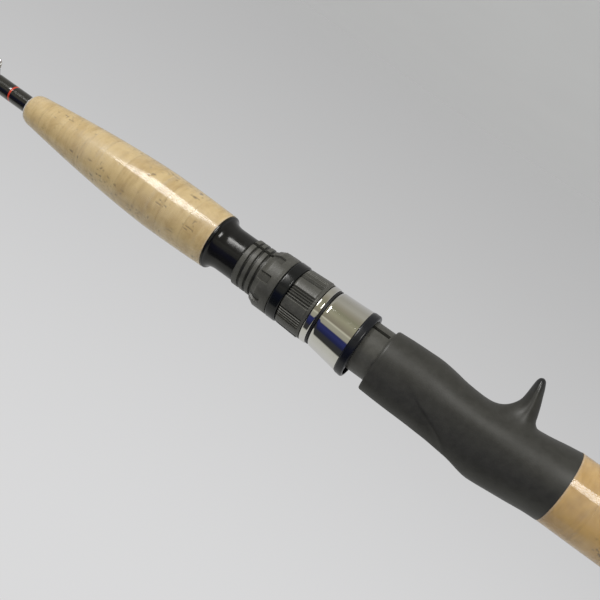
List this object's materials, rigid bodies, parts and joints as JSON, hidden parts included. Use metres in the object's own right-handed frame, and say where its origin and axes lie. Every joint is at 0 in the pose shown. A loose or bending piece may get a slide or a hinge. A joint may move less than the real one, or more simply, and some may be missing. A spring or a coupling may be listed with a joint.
{
  "type": "casting fishing rod",
  "caption": "Two-piece casting rod with a trigger reel seat, a sliding hood tightened by a clamp nut and a lock nut, cork grips and double-foot line guides.",
  "frame": {"origin": "centre of the butt cap's flat end face, on the rod's axis", "axes": "+X along the rod towards the tip, +Z towards the reel and the line guides, the trigger points to -Z"},
  "size_m": [1.9831, 0.0324, 0.0583],
  "materials": {
    "butt_cap": "matt moulded rubber",
    "trim_metal": "dark anodised, turned",
    "rear_cork": "turned natural cork with pits",
    "fore_cork": "turned natural cork with pits",
    "clear_film": "clear shrink film",
    "blank": "gloss black lacquered graphite",
    "spigot": "ground graphite",
    "arbor": "rigid foam",
    "seat_tube": "satin moulded graphite resin",
    "seat_body": "matt moulded graphite resin",
    "trim_sleeve": "gloss black",
    "thread_wrap": "black thread under epoxy",
    "trim_band": "red thread under epoxy",
    "wire": "polished wire",
    "hood_chrome": "mirror polished",
    "hood_liner": "moulded",
    "bumper": "satin",
    "groove_ring": "satin",
    "nut": "satin moulded graphite resin",
    "thrust_ring": "satin black",
    "guide_frame": "dark plated wire",
    "guide_ceramic": "polished ceramic"
  },
  "bodies": {
    "butt_section": {"butt_cap": "butt_cap", "rear_trim_ring": "trim_metal", "rear_grip_cork": "rear_cork", "rear_grip_film": "clear_film", "butt_blank": "blank", "rear_arbor": "arbor", "middle_arbor": "arbor", "front_arbor": "arbor", "seat_tube": "seat_tube", "trigger_body": "seat_body", "foregrip_trim_sleeve": "trim_sleeve", "foregrip_cork": "fore_cork", "foregrip_film": "clear_film", "keeper_wrap": "thread_wrap", "keeper_trim_band": "trim_band", "keeper_front_wrap": "thread_wrap", "hook_keeper": "wire", "butt_joint_wrap": "thread_wrap", "ferrule_spigot": "spigot", "guide_frame_1": "guide_frame", "guide_ring_1": "guide_ceramic", "guide_wraps_1": "thread_wrap", "guide_frame_2": "guide_frame", "guide_ring_2": "guide_ceramic", "guide_wraps_2": "thread_wrap"},
    "hood": {"hood_shell": "hood_chrome", "hood_liner": "hood_liner", "hood_bumper": "bumper", "groove_ring": "groove_ring", "retaining_ring": "hood_chrome"},
    "clamp_nut": {"clamp_nut": "nut"},
    "thrust_ring": {"thrust_ring": "thrust_ring"},
    "lock_nut": {"lock_nut": "nut"},
    "tip_section": {"tip_blank": "blank", "tip_joint_wrap": "thread_wrap", "tip_top": "guide_frame", "tip_top_ring": "guide_ceramic", "tip_top_wrap": "thread_wrap", "guide_frame_3": "guide_frame", "guide_ring_3": "guide_ceramic", "guide_wraps_3": "thread_wrap", "guide_frame_4": "guide_frame", "guide_ring_4": "guide_ceramic", "guide_wraps_4": "thread_wrap", "guide_frame_5": "guide_frame", "guide_ring_5": "guide_ceramic", "guide_wraps_5": "thread_wrap", "guide_frame_6": "guide_frame", "guide_ring_6": "guide_ceramic", "guide_wraps_6": "thread_wrap", "guide_frame_7": "guide_frame", "guide_ring_7": "guide_ceramic", "guide_wraps_7": "thread_wrap", "guide_frame_8": "guide_frame", "guide_ring_8": "guide_ceramic", "guide_wraps_8": "thread_wrap"}
  },
  "joints": [
    {"name": "hood_slide", "type": "slide", "parent": "butt_section", "child": "hood", "axis": [1, 0, 0], "range_m": [-0.0075, 0.006]},
    {"name": "clamp_nut_turn", "type": "hinge", "parent": "hood", "child": "clamp_nut", "pos_m": [0.344, 0, 0], "axis": [1, 0, 0], "range_deg": [-900, 720]},
    {"name": "lock_nut_slide", "type": "slide", "parent": "clamp_nut", "child": "thrust_ring", "axis": [1, 0, 0], "range_m": [0, 0.003]},
    {"name": "lock_nut_turn", "type": "hinge", "parent": "thrust_ring", "child": "lock_nut", "pos_m": [0.36, 0, 0], "axis": [1, 0, 0], "range_deg": [0, 360]},
    {"name": "tip_section_slide", "type": "slide", "parent": "butt_section", "child": "tip_section", "axis": [1, 0, 0], "range_m": [0, 0.065]}
  ],
  "couplings": [
    {"joint": "hood_slide", "follows": "clamp_nut_turn", "m_per_rad": 0.00047746},
    {"joint": "lock_nut_slide", "follows": "lock_nut_turn", "m_per_rad": 0.00047746}
  ]
}
